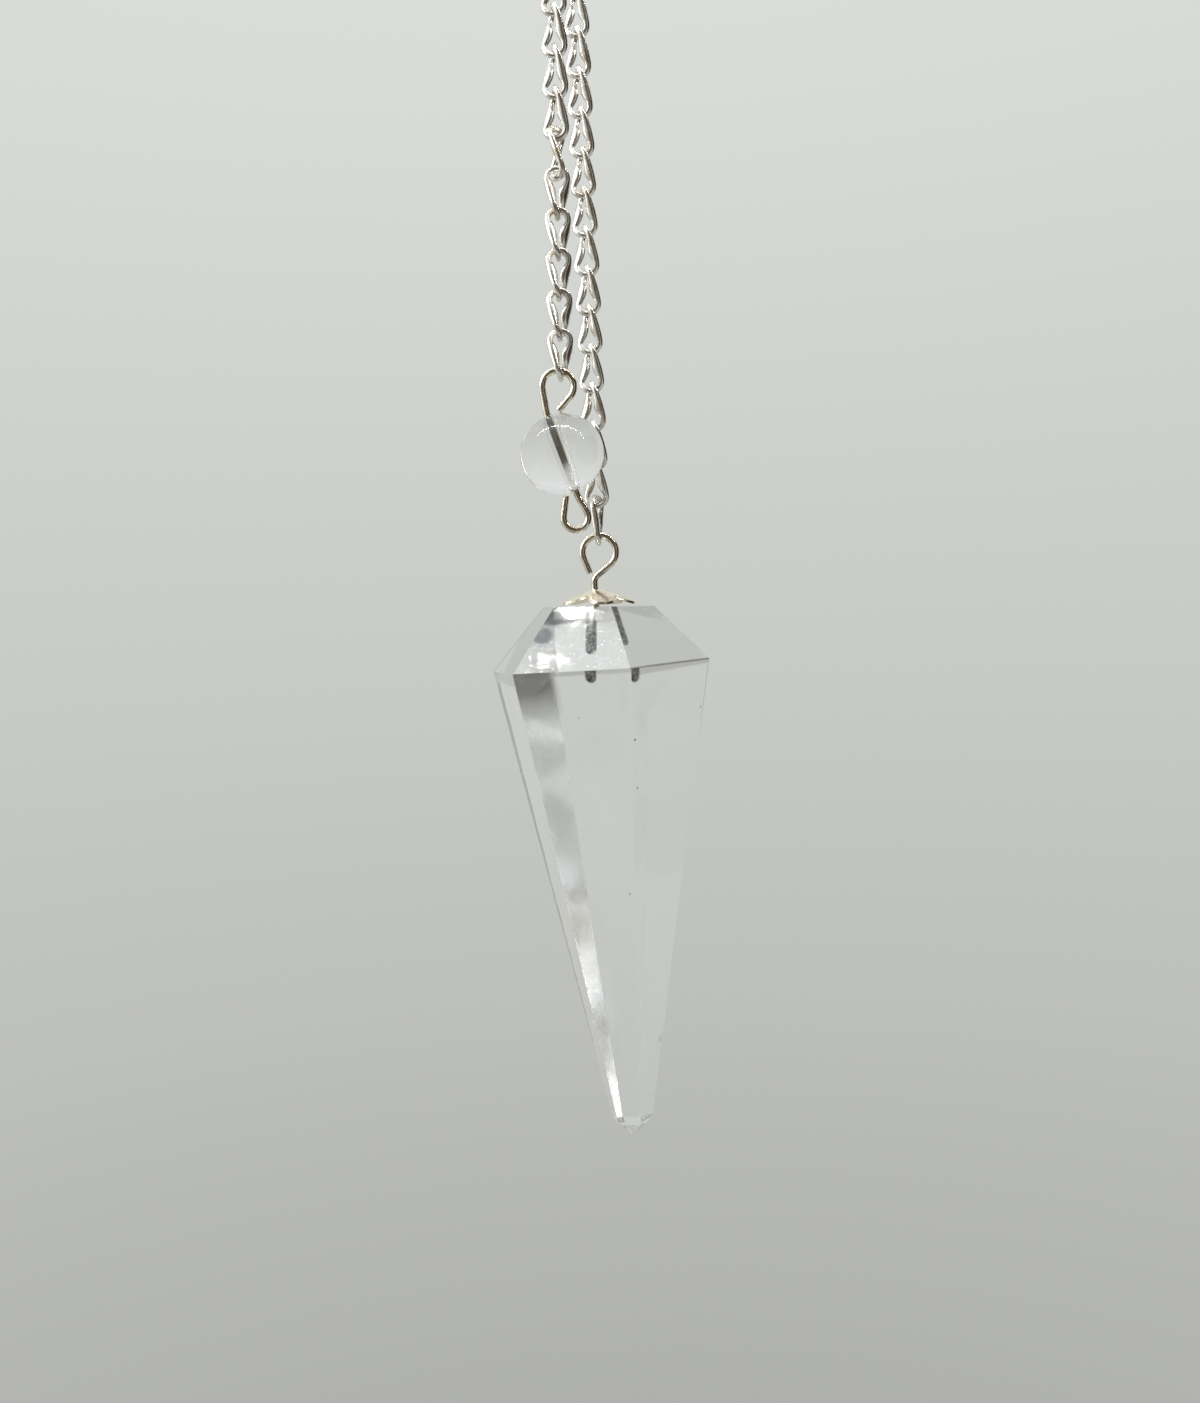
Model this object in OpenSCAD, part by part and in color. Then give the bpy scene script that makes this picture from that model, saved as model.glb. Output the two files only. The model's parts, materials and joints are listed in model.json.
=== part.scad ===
// Pendulum pendant: a faceted clear crystal on a curb chain, with a small bead as the grip.
// Millimetres, +Z up, +X to the viewer's right, +Y away from the viewer.
// The origin is on the axis of the thin hook or peg that the chain's top link lies across.

/* [Hook] */
// Thickness of the hook or peg that the chain lies over
hook_d = 1.5; // [1:0.1:1.6]

/* [Chain] */
// Wire diameter of a link
link_wire = 0.6; // [0.5:0.05:0.65]
// Width of a link over the wire
link_w = 2.65; // [2.6:0.05:2.9]
// Length of a link over the wire
link_l = 5.07; // [5.02:0.05:5.62]
// Gap between two links where they touch
link_gap = 0.15; // [0.14:0.01:0.22]
// Twist of a link from its top end to its bottom end
link_twist = 90; // [84:1:90]
// Links from the hook down to the crystal
drop_links = 27; // [16:1:34]
// Links by which the bead hangs higher than the crystal's eye
bead_rise = 4; // [4:1:8]
// Links above the bead that are turned wide side up towards the viewer
faced_links = 5; // [1:1:6]
// Turn of the crystal's end link against the links above it
end_turn = 30; // [20:1:45]
// Shorter hang of two links that are turned 45 degrees against each other
turn_slack = 0.12; // [0.12:0.02:0.3]
// Shorter hang of each link on the light strand
light_slack = 0.01; // [0:0.005:0.05]
// Sideways lean of the bead's strand from plumb
strand_lean = 1.45; // [1.2:0.05:1.8]

/* [Eye peg] */
// Wire diameter of the eye peg
peg_wire = 0.68; // [0.6:0.02:0.8]
// Bend radius of the eye, to the middle of the wire
eye_r = 1.66; // [1.5:0.02:1.9]
// Height of the hanging point above the crystal's table
pivot_h = 6.24; // [5.8:0.02:7]
// Height of the bend between stem and eye above the table
bend_h = 2.85; // [2.4:0.05:3]
// Depth of the stem in the crystal
peg_depth = 5.8; // [4:0.1:6]
// Direction at which the eye's bend ends, counter-clockwise from the right
eye_to = 199; // [185:1:205]
// Straight stretch before the eye's cut end
eye_tail = 1.6; // [0.8:0.1:1.7]

/* [Bead cap] */
// Number of petals
petals = 5; // [4:1:7]
// Diameter of the cap across its petal tips
cap_d = 7.5; // [6.5:0.1:8.5]
// Diameter of the cap at the notches between the petals
cap_notch_d = 4.5; // [4:0.1:5.5]
// Height of the cap from petal tip to crown
cap_h = 1.55; // [1:0.05:1.6]
// Thickness of the cap's metal
cap_t = 0.25; // [0.2:0.05:0.35]
// Hole in the cap, loose on the stem
cap_hole = 1.5; // [1.44:0.02:1.6]
// Sideways shift of the loose cap
cap_shift = 0.3; // [0:0.05:0.3]
// Gap under the petal tips
cap_gap = 0.1; // [0.05:0.05:0.3]

/* [Crystal] */
// Radius of the flat table to its corners
table_r = 5.6; // [5:0.1:6.5]
// Radius of the widest ring of corners
girdle_r = 11; // [9.5:0.1:12.5]
// Radius of the small ring of corners above the tip
shoulder_r = 2.1; // [1.6:0.1:3]
// Height of the sloping crown
crown_h = 5.8; // [5:0.1:7]
// Height of the long body
body_h = 46.6; // [38:0.2:56]
// Height of the short tip
tip_h = 2.1; // [1.4:0.1:3]
// Slope of the table against the axis, right side lower
table_tilt = 3.3; // [0:0.1:4]
// Lean of the axis from plumb, tip to the right
crystal_lean = 1.65; // [0.5:0.05:2.2]
// Diameter of the drilled hole
hole_d = 1.1; // [1:0.05:1.4]
// Depth of the drilled hole with its cone
hole_depth = 6.8; // [6.6:0.1:9]

/* [Bead] */
// Diameter of the bead
bead_d = 8; // [7:0.1:8.2]
// Length of the bead along its hole
bead_l = 7.4; // [6.6:0.1:7.8]
// Diameter of the hole in the bead
bead_hole = 1; // [0.9:0.05:1.2]

/* [Bead pin] */
// Wire diameter of the pin's loops
pin_wire = 0.68; // [0.6:0.02:0.74]
// Tilt of the pin from plumb, its lower end to the right
pin_tilt = 18; // [14:0.5:22]
// Bend radius of the upper loop, to the middle of the wire
upper_r = 1.5; // [1.4:0.02:1.6]
// Middle of the upper loop, right of the pin's shaft
upper_side = 1.88; // [1.8:0.02:2]
// Middle of the upper loop, above the shaft's end
upper_rise = 2.23; // [2.2:0.01:2.5]
// Turn of the upper loop's bend
upper_wrap = 231; // [220:1:240]
// Straight stretch before the upper loop's cut end
upper_tail = 1.5; // [0.8:0.1:1.5]
// Bend radius of the lower loop, to the middle of the wire
lower_r = 1.18; // [1.05:0.01:1.25]
// Middle of the lower loop, left of the pin's shaft
lower_side = 0.83; // [0.7:0.01:0.9]
// Middle of the lower loop, below the shaft's end
lower_drop = 2.23; // [2.1:0.01:2.4]
// Turn of the lower loop's bend
lower_wrap = 218; // [210:1:225]
// Straight stretch before the lower loop's cut end
lower_tail = 1.7; // [0.8:0.1:1.7]

/* [Hidden] */

// Hand-cut corners of the crystal, counter-clockwise from +X: right back, left back,
// far left, left front, front, right
corner_turns = [43, 105, 171, 221, 284.5, 345.5];
wire_sides = 10;
link_sides = 6;
link_step = 30;                       // turn between two rings of a link's round end
bend_step = 15;                       // turn between two rings of a bent wire
bend_ease = 0.16;                     // how far a small bend cuts its corner, as a share of its reach
peg_bend = 0.5;                       // reach of the small bend at the eye peg's neck
pin_bend = 0.3;                       // reach of the small bends at the pin's necks
pin_neck = 0.2;                       // straight stretch of the shaft past the bead, before a bend
pin_root = 1;                         // how far a loop's wire starts inside the shaft
shaft_over = 0.01;                    // the pin's straight shaft is this much thicker than its loops
bead_play = 0.12;                     // gap between the bead and the bends that keep it
bead_clear = 0.15;                    // gap between the bead and the widest reach of the other strand
wire_clear = 0.13;                    // gap between an eye and the link in it
loop_turn = 25;                       // the end link touches the bead's loop this far right of its top
cement_gap = 0.03;
peg_gap = 0.02;
front_petal_turn = -82;               // the front petal points a little right of the viewer
petal_round = 0.75;                   // lower rounds the petal tips, higher sharpens them
cap_bow = 1.25;                       // 1 makes the cap a plain cone, higher bows it

function unit(v) = v / norm(v);
function polar(r, a) = [r * cos(a), r * sin(a)];
function clamp(v, lo, hi) = max(lo, min(hi, v));
function turn_x(a) = [[1, 0, 0], [0, cos(a), -sin(a)], [0, sin(a), cos(a)]];
function turn_y(a) = [[cos(a), 0, sin(a)], [0, 1, 0], [-sin(a), 0, cos(a)]];
function turn_z(a) = [[cos(a), -sin(a), 0], [sin(a), cos(a), 0], [0, 0, 1]];

// Link: half length and half width of the wire's middle line, and half of its straight stretch
link_h = (link_l - link_wire) / 2;
link_hw = (link_w - link_wire) / 2;
link_s = (link_l - link_w) / 2;
link_plan = concat(
    [for (a = [0:link_step:180]) [link_hw * cos(a), link_s + link_hw * sin(a)]],
    [[-link_hw, 0]],
    [for (a = [180:link_step:360]) [link_hw * cos(a), -link_s + link_hw * sin(a)]],
    [[link_hw, 0]]);

// Points round the wire of a link, whose two half rounds and two legs are twisted from end to end
function link_points(twist) =
    let (n = len(link_plan),
         turns = [for (p = link_plan) twist * (link_h - p.y) / (2 * link_h)],
         mids = [for (i = [0:n - 1]) concat(polar(link_plan[i].x, turns[i]), [link_plan[i].y])])
    [for (i = [0:n - 1])
        let (t = unit(mids[(i + 1) % n] - mids[(i + n - 1) % n]),
             b = unit(cross(t, [-sin(turns[i]), cos(turns[i]), 0])),
             c = cross(b, t))
        for (k = [0:link_sides - 1])
            let (a = 360 * (k + 0.5) / link_sides)
            mids[i] + link_wire / 2 * (cos(a) * b + sin(a) * c)];
link_faces = let (n = len(link_plan), s = link_sides)
    [for (i = [0:n - 1]) for (k = [0:s - 1])
        let (j = (i + 1) % n, m = (k + 1) % s)
        each [[i * s + k, i * s + m, j * s + k], [i * s + m, j * s + m, j * s + k]]];

// Fold over the hook, as shares of the link's half length; the top link lies askew
fold_turn = -30;
fold_side = 0.18 * link_h;
fold_back = 0.9 * link_h;
fold_rise = 0.16 * link_h;
top_z = hook_d / 2 + link_wire / 2;
first_z = top_z + fold_rise - link_h; // middle of each strand's first link

// How far link k of a strand hangs below the first one, by where its top points: links that
// are turned against each other lock a little higher
pitch = link_l - 2 * link_wire - link_gap;
edge_on = 90;
link_turn = 45;
function hang(k, step, top) = (k - 1) * step - turn_slack * (edge_on - top) / link_turn;

// Crystal's strand: edge-on tops all the way, and a less twisted end link that ends edge-on too
function drop_top(k) = k < drop_links ? edge_on : edge_on - end_turn;
function drop_twist(k) = k < drop_links ? link_twist : end_turn;
drop_z = first_z - hang(drop_links, pitch, drop_top(drop_links));
pivot = [0, fold_back, drop_z - link_h];

// Bead's strand: its last links are turned to the viewer, one step of link_turn at a time
bead_links = drop_links - bead_rise;
light_pitch = pitch - light_slack;
function light_top(k) = clamp(link_turn * (bead_links - k - faced_links + 1), 0, edge_on);
light_len = hang(bead_links, light_pitch, light_top(bead_links));
light_x = -2 * fold_side;

// The upper loop of the bead's pin hangs from the bottom of the strand's end link
function tilted(p) = [p.x * cos(pin_tilt) - p.y * sin(pin_tilt), p.x * sin(pin_tilt) + p.y * cos(pin_tilt)];
pin_end = bead_l / 2 + bead_play;
upper_mid = [upper_side, pin_end + upper_rise];
lower_mid = [-lower_side, -pin_end - lower_drop];
loop_play = upper_r - pin_wire / 2 - wire_clear - link_wire / 2;
bead_hang = polar(loop_play, 90 - loop_turn) + tilted(upper_mid);  // the link above the bead's middle

// The bead's strand leans forward just enough for the bead to pass the crystal's strand
bead_x = light_x - (light_len + link_h) * sin(strand_lean) - bead_hang.x;
need_y = sqrt(pow(bead_d / 2 + link_w / 2 + bead_clear, 2) - bead_x * bead_x);
strand_fwd = asin(max(0, need_y - 2 * fold_back) / light_len);
light_lean = turn_x(-strand_fwd) * turn_y(strand_lean);
light_start = [light_x, -fold_back, first_z];
end_link = light_start - light_lean * [0, 0, light_len + link_h];
bead_at = end_link - [bead_hang.x, 0, bead_hang.y];

// Each link's place: its middle, its turn and its twist; the top link lies across the hook
link_places = concat(
    [[[-fold_side, 0, top_z], turn_z(fold_turn) * turn_x(-90) * turn_z(-link_twist / 2), link_twist]],
    [for (k = [1:drop_links])
        [[0, fold_back, first_z - hang(k, pitch, drop_top(k))], turn_z(drop_top(k)), drop_twist(k)]],
    [for (k = [1:bead_links])
        [light_start - light_lean * [0, 0, hang(k, light_pitch, light_top(k))],
         light_lean * turn_z(light_top(k)), link_twist]]);

module chain() {
    ring = len(link_plan) * link_sides;
    color([0.83, 0.82, 0.79]) polyhedron(
        [for (place = link_places) for (p = link_points(place[2])) place[0] + place[1] * p],
        [for (i = [0:len(link_places) - 1]) for (f = link_faces) [for (v = f) i * ring + v]]);
}

// Round wire along a path in the XZ plane
module wire(path, d) {
    n = len(path);
    s = wire_sides;
    points = [
        for (i = [0:n - 1])
            let (t = unit(path[min(i + 1, n - 1)] - path[max(i - 1, 0)]))
            for (k = [0:s - 1])
                let (a = 360 * k / s, u = d / 2 * cos(a))
                [path[i].x - u * t.y, d / 2 * sin(a), path[i].y + u * t.x]];
    faces = concat(
        [[for (k = [s - 1:-1:0]) k]],
        [for (i = [0:n - 2]) for (k = [0:s - 1])
            let (m = (k + 1) % s)
            [i * s + k, i * s + m, (i + 1) * s + m, (i + 1) * s + k]],
        [[for (k = [0:s - 1]) (n - 1) * s + k]]);
    polyhedron(points, faces);
}

function arc(c, r, from, to) =
    let (n = max(1, ceil(abs(to - from) / bend_step)))
    [for (i = [0:n]) c + polar(r, from + (to - from) * i / n)];

// Direction from a circle's middle to where a line from point p touches it, on side +1 or -1
function touch(p, c, r, side) =
    let (v = p - c) atan2(v.y, v.x) + side * acos(r / norm(v));

// Softened corner: three points of a small bend at p between its neighbours a and b
function corner(a, p, b, reach) =
    let (u = reach * unit(a - p), v = reach * unit(b - p)) [p + u, p + bend_ease * (u + v), p + v];

// Balance: volume and depth of the middle of a frustum, summed over crown, body and tip
function frustum_v(h, a, b) = h / 3 * (a * a + a * b + b * b);
function frustum_c(h, a, b) = h / 4 * (a * a + 2 * a * b + 3 * b * b) / (a * a + a * b + b * b);
crown_v = frustum_v(crown_h, table_r, girdle_r);
body_v = frustum_v(body_h, girdle_r, shoulder_r);
tip_v = frustum_v(tip_h, shoulder_r, 0);
mass_depth = (crown_v * frustum_c(crown_h, table_r, girdle_r)
    + body_v * (crown_h + frustum_c(body_h, girdle_r, shoulder_r))
    + tip_v * (crown_h + body_h + frustum_c(tip_h, shoulder_r, 0))) / (crown_v + body_v + tip_v);
pivot_off = (pivot_h + mass_depth) * tan(crystal_lean);  // the crystal hangs plumb below its eye

// Eye peg in the crystal's own frame: X across, Z up from the table on the crystal's axis
eye_mid = [pivot_off, pivot_h - (eye_r - peg_wire / 2 - wire_clear - link_wire / 2)];
stem_top = [0, bend_h];
eye_from = touch(stem_top, eye_mid, eye_r, 1);
eye_path = concat(
    [[0, -peg_depth]],
    corner([0, 0], stem_top, eye_mid + polar(eye_r, eye_from), peg_bend),
    arc(eye_mid, eye_r, eye_from, eye_to),
    [eye_mid + polar(eye_r, eye_to) + polar(eye_tail, eye_to + 90)]);

// Puts what is built in the crystal's frame in its place under the chain
module hang_drop() {
    translate(pivot) rotate([0, -crystal_lean, 0]) translate([-pivot_off, 0, -pivot_h])
        children();
}

module eye_peg() {
    color([0.78, 0.74, 0.66]) hang_drop() wire(eye_path, peg_wire);
}

// Petal outline: the notch radius, swelling to the tip of each petal
function petal_r(a) = let (w = abs(cos(petals * (a - front_petal_turn) / 2)))
    (cap_notch_d + (cap_d - cap_notch_d) * pow(w, petal_round)) / 2;
cap_shares = [0, 0.3, 0.6, 0.85, 1];   // rings from the hole to the rim
cap_step = 6;
function cap_z(r) = cap_h * (1 - pow(2 * r / cap_d, cap_bow));

module bead_cap() {
    turns = [0:cap_step:360 - cap_step];
    n = 360 / cap_step;
    m = len(cap_shares);
    sheet = [for (t = [0, cap_t]) for (f = cap_shares) for (a = turns)
        let (r = cap_hole / 2 + f * (petal_r(a) - cap_hole / 2)) concat(polar(r, a), [cap_z(r) + t])];
    // the sheet's rows: under side outwards, then upper side outwards
    function at(row, k) = row * n + k % n;
    function cell(low, high, k) = [at(low, k), at(high, k), at(high, k + 1), at(low, k + 1)];
    faces = concat(
        [for (i = [0:m - 2]) for (k = [0:n - 1]) cell(i, i + 1, k)],
        [for (i = [m:2 * m - 2]) for (k = [0:n - 1]) cell(i + 1, i, k)],
        [for (k = [0:n - 1]) cell(m - 1, 2 * m - 1, k)],
        [for (k = [0:n - 1]) cell(m, 0, k)]);
    color([0.86, 0.82, 0.72]) hang_drop() rotate([0, table_tilt, 0])
        translate([cap_shift - cap_h * tan(table_tilt), 0, cap_gap]) polyhedron(sheet, faces);
}

// Crystal: the crown's edges run to one point, so its sloping table leaves every facet flat
crown_top = crown_h * table_r / (girdle_r - table_r);
function girdle(i) = concat(polar(girdle_r, corner_turns[i]), [-crown_h]);
function table(i) =
    let (g = girdle(i), t = tan(table_tilt),
         k = (crown_h - t * g.x) / (crown_top + crown_h - t * g.x))
    g + k * ([0, 0, crown_top] - g);
function shoulder(i) = concat(polar(shoulder_r, corner_turns[i]), [-crown_h - body_h]);

module crystal() {
    n = len(corner_turns);
    points = concat([for (i = [0:n - 1]) table(i)], [for (i = [0:n - 1]) girdle(i)],
        [for (i = [0:n - 1]) shoulder(i)], [[0, 0, -crown_h - body_h - tip_h]]);
    faces = concat(
        [[for (i = [n - 1:-1:0]) i]],
        [for (row = [0, n]) for (i = [0:n - 1])
            [row + i, row + (i + 1) % n, row + n + (i + 1) % n, row + n + i]],
        [for (i = [0:n - 1]) [2 * n + i, 2 * n + (i + 1) % n, 3 * n]]);
    color([0.85, 0.87, 0.86, 0.5]) hang_drop() difference() {
        polyhedron(points, faces);
        drill(hole_d / 2, hole_depth);
    }
}

// Blind hole from above the table, with the cone that a drill leaves
module drill(r, depth) {
    above = 2;
    blunt_r = 0.1;
    translate([0, 0, r - depth]) cylinder(h = depth + above, r = r, $fn = 48);
    translate([0, 0, -depth]) cylinder(h = r, r1 = blunt_r, r2 = r, $fn = 48);
}

module cement() {
    r = hole_d / 2 - cement_gap;
    low = hole_depth - 2 * cement_gap;
    top = hole_d / 2 * tan(table_tilt) + cement_gap;    // clear of the hole's lower rim
    color([0.32, 0.32, 0.3]) hang_drop() difference() {
        intersection() {
            drill(r, low);
            translate([0, 0, -low - top]) cylinder(h = low, r = 2 * r, $fn = 48);
        }
        translate([0, 0, -peg_depth - peg_gap])
            cylinder(h = hole_depth, r = peg_wire / 2 + peg_gap, $fn = 48);
    }
}

// Bead pin in the bead's frame: X across, Z along the bead's hole, before it is tilted
function loop_path(mid, r, end, wrap, tail) =
    let (past = end + pin_neck * sign(end),
         from = touch([0, past], mid, r, -1),
         to = from - wrap)
    concat([[0, end - pin_root * sign(end)]],
        corner([0, 0], [0, past], mid + polar(r, from), pin_bend),
        arc(mid, r, from, to),
        [mid + polar(r, to) + polar(tail, to - 90)]);

module hang_bead() {
    translate(bead_at) rotate([0, -pin_tilt, 0]) children();
}

module bead_pin() {
    color([0.76, 0.74, 0.7]) hang_bead() {
        cylinder(h = 2 * pin_end, r = (pin_wire + shaft_over) / 2, center = true, $fn = 48);
        wire(loop_path(upper_mid, upper_r, pin_end, upper_wrap, upper_tail), pin_wire);
        wire(loop_path(lower_mid, lower_r, -pin_end, lower_wrap, lower_tail), pin_wire);
    }
}

module bead() {
    side_r = bead_l / 2;                  // the bead is flattened a little along its hole
    color([0.87, 0.88, 0.87, 0.5]) hang_bead() difference() {
        rotate_extrude($fn = 96) intersection() {
            translate([bead_d / 2 - side_r, 0]) circle(r = side_r, $fn = 96);
            translate([0, -bead_d]) square([bead_d, 2 * bead_d]);
        }
        cylinder(h = 2 * bead_l, r = bead_hole / 2, center = true, $fn = 48);
    }
}

chain();
bead_pin();
bead();
eye_peg();
bead_cap();
crystal();
cement();
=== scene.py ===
import json
import math
import bmesh
import bpy
from mathutils import Matrix, Vector


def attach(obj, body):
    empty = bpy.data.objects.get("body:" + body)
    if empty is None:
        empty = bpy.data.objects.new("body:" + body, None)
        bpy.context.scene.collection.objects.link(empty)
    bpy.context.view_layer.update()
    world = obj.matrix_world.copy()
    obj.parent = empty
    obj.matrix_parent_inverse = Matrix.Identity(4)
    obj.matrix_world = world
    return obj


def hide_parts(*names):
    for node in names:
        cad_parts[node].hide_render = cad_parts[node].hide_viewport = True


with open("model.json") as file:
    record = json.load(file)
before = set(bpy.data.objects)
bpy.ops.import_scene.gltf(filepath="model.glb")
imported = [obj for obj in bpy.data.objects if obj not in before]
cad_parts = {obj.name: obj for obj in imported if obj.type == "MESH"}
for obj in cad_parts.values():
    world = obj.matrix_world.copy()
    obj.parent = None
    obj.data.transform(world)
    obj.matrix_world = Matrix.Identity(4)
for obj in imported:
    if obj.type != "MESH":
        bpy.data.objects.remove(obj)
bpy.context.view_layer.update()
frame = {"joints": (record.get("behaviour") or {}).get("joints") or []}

mm = 0.001
jointAt = {joint["name"]: Vector(joint["pos_m"]) for joint in frame["joints"]}


# Modelling by hand: selection, edit mode and the finished piece
def openEdit():
    bpy.ops.object.mode_set(mode="EDIT")


def closeEdit():
    bpy.ops.object.mode_set(mode="OBJECT")


def freeHands():
    bpy.ops.object.select_all(action="DESELECT")


def takeAll():
    bpy.ops.mesh.select_all(action="SELECT")


def pick(kind, test):
    # in edit mode, selects the verts, edges or faces that pass the test, and nothing else
    bpy.ops.mesh.select_mode(type={"verts": "VERT", "edges": "EDGE", "faces": "FACE"}[kind])
    bpy.ops.mesh.select_all(action="DESELECT")
    mesh = bmesh.from_edit_mesh(bpy.context.edit_object.data)
    for item in getattr(mesh, kind):
        if test(item):
            item.select_set(True)
    bmesh.update_edit_mesh(bpy.context.edit_object.data)


def extrude(way):
    bpy.ops.mesh.extrude_region_move(TRANSFORM_OT_translate={"value": way})


def widen(times):
    # spreads what is selected away from the Z axis
    bpy.ops.transform.resize(value=(times, times, 1), center_override=(0, 0, 0))


def weld(near=0.001 * mm):
    takeAll()
    bpy.ops.mesh.remove_doubles(threshold=near)


def facesOut():
    takeAll()
    bpy.ops.mesh.normals_make_consistent(inside=False)


def only(*pieces):
    freeHands()
    for piece in pieces:
        piece.select_set(True)
    bpy.context.view_layer.objects.active = pieces[0]


def put(piece, name, place):
    # the place goes into the mesh, so the finished piece's object sits at the origin
    only(piece)
    piece.name = name
    piece.data.name = name
    piece.matrix_world = place
    bpy.ops.object.transform_apply(location=True, rotation=True, scale=True)
    return piece


def applyModifier(piece, kind, **settings):
    only(piece)
    modifier = piece.modifiers.new(kind.lower(), kind)
    for key, value in settings.items():
        setattr(modifier, key, value)
    bpy.ops.object.modifier_apply(modifier=modifier.name)


def smooth(piece, degrees):
    only(piece)
    bpy.ops.object.shade_smooth_by_angle(angle=math.radians(degrees))


def finish(piece, body, replaced):
    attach(piece, body)
    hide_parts(replaced)


def turned(degrees, axis):
    return Matrix.Rotation(math.radians(degrees), 4, axis)


# Wire is bent in the XZ plane, along a route: (0, length) is a straight and (radius, degrees) a bend.
# Directions there are in degrees from the right towards up
def polar(length, degrees):
    return Vector((length * math.cos(math.radians(degrees)), 0, length * math.sin(math.radians(degrees))))


def touch(point, middle, radius, side):
    # direction from a circle's middle to where a line from the point touches it
    way = point - middle
    return math.degrees(math.atan2(way.z, way.x) + side * math.acos(radius / way.length))


def walk(at, heading, route):
    # where a route ends, and which way it points there
    for radius, amount in route:
        if radius == 0:
            at = at + polar(amount, heading)
        else:
            side = math.copysign(90, amount)
            middle = at + polar(radius, heading + side)
            heading += amount
            at = middle + polar(radius, heading - side)
    return at, heading


def backwards(route):
    return [(radius, amount if radius == 0 else -amount) for radius, amount in reversed(route)]


def bendWire(thick, sides, at, heading, route, step=0.35 * mm, turn=10):
    # the wire's end face is pushed along each straight and spun round each bend
    freeHands()
    bpy.ops.mesh.primitive_circle_add(vertices=sides, radius=thick / 2, fill_type="NGON", location=at,
                                      rotation=(0, math.radians(90 - heading), 0))
    bpy.ops.object.transform_apply(location=True, rotation=True, scale=True)
    openEdit()
    takeAll()
    for radius, amount in route:
        if radius == 0:
            rings = max(1, round(amount / step))
            for ring in range(rings):
                extrude(polar(amount / rings, heading))
        else:
            middle = at + polar(radius, heading + math.copysign(90, amount))
            bpy.ops.mesh.spin(steps=max(2, round(abs(amount) / turn)), angle=math.radians(amount),
                              center=middle, axis=(0, 1, 0))
        at, heading = walk(at, heading, [(radius, amount)])
    facesOut()
    return bpy.context.object


def isCap(face):
    # only a wire's two cut ends have more than four corners
    return len(face.verts) > 4


def roundCuts(amount):
    # the two cut ends of a wire keep a small rounded edge
    pick("edges", lambda edge: sum(isCap(face) for face in edge.link_faces) == 1)
    bpy.ops.mesh.bevel(offset=amount, segments=2, affect="EDGES")


# One material: add() makes any node, its settings first and then its inputs
class Paint:
    def __init__(self, name, stand=Matrix()):
        # patterns are laid out in the piece's own frame, in millimetres
        self.material = bpy.data.materials.new(name)
        self.material.use_nodes = True
        self.tree = self.material.node_tree
        self.tree.nodes.clear()
        back = stand.inverted()
        self.place = self.add("Mapping", {}, {"Vector": self.add("TexCoord", output="Object"),
                                              "Location": back.translation / mm, "Rotation": back.to_euler(),
                                              "Scale": (1 / mm, 1 / mm, 1 / mm)})

    def add(self, kind, settings=None, inputs=None, output=0):
        node = self.tree.nodes.new("ShaderNode" + kind)
        for key, value in (settings or {}).items():
            if key == "stops":
                fillRamp(node.color_ramp, value)
            else:
                setattr(node, key, value)
        for key, value in (inputs or {}).items():
            if isinstance(value, Knot):
                self.tree.links.new(value.socket, node.inputs[key])
            else:
                node.inputs[key].default_value = value
        return Knot(self, node.outputs[output]) if node.outputs else node

    def noise(self, scale, detail, rough, at=None):
        return self.add("TexNoise", {}, {"Vector": at or self.place, "Scale": scale,
                                         "Detail": detail, "Roughness": rough})

    def cells(self, scale):
        return self.add("TexVoronoi", {}, {"Vector": self.place, "Scale": scale})

    def height(self):
        return self.add("SeparateXYZ", {}, {"Vector": self.place}, "Z")

    def vector(self, how, first, second=(0, 0, 0), output="Value"):
        return self.add("VectorMath", {"operation": how}, {0: first, 1: second}, output)

    def ramp(self, value, *stops):
        return self.add("ValToRGB", {"stops": stops}, {"Fac": value})

    def rise(self, value, start, end):
        return self.ramp(value, (start, 0.0), (end, 1.0))

    def fall(self, value, start, end):
        return self.ramp(value, (start, 1.0), (end, 0.0))

    def blend(self, factor, first, second):
        return self.add("Mix", {"data_type": "RGBA"}, {0: factor, 6: first, 7: second}, 2)

    def bump(self, height, strength, deep):
        return self.add("Bump", {}, {"Height": height, "Strength": strength, "Distance": deep})

    def surface(self, inputs):
        shader = self.add("BsdfPrincipled", {}, inputs)
        self.add("OutputMaterial", {}, {"Surface": shader})
        return self.material

    def glow(self, tone):
        # gives its own light and reflects none
        return self.surface({"Base Color": (0, 0, 0, 1), "Roughness": 1.0, "Specular IOR Level": 0.0,
                             "Emission Color": tone, "Emission Strength": 1.0})


class Knot:
    # a node's output that takes part in sums and comparisons
    def __init__(self, paint, socket):
        self.paint = paint
        self.socket = socket

    def reckon(self, how, first, second):
        return self.paint.add("Math", {"operation": how}, {0: first, 1: second})

    def __add__(self, other):
        return self.reckon("ADD", self, other)

    def __radd__(self, other):
        return self.reckon("ADD", other, self)

    def __sub__(self, other):
        return self.reckon("SUBTRACT", self, other)

    def __rsub__(self, other):
        return self.reckon("SUBTRACT", other, self)

    def __mul__(self, other):
        return self.reckon("MULTIPLY", self, other)

    def __rmul__(self, other):
        return self.reckon("MULTIPLY", other, self)

    def __gt__(self, other):
        return self.reckon("GREATER_THAN", self, other)

    def __lt__(self, other):
        return self.reckon("LESS_THAN", self, other)


def fillRamp(ramp, stops):
    while len(ramp.elements) < len(stops):
        ramp.elements.new(0.5)
    for element, (at, value) in zip(ramp.elements, stops):
        element.position = at
        element.color = (value, value, value, 1) if isinstance(value, (int, float)) else value


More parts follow.
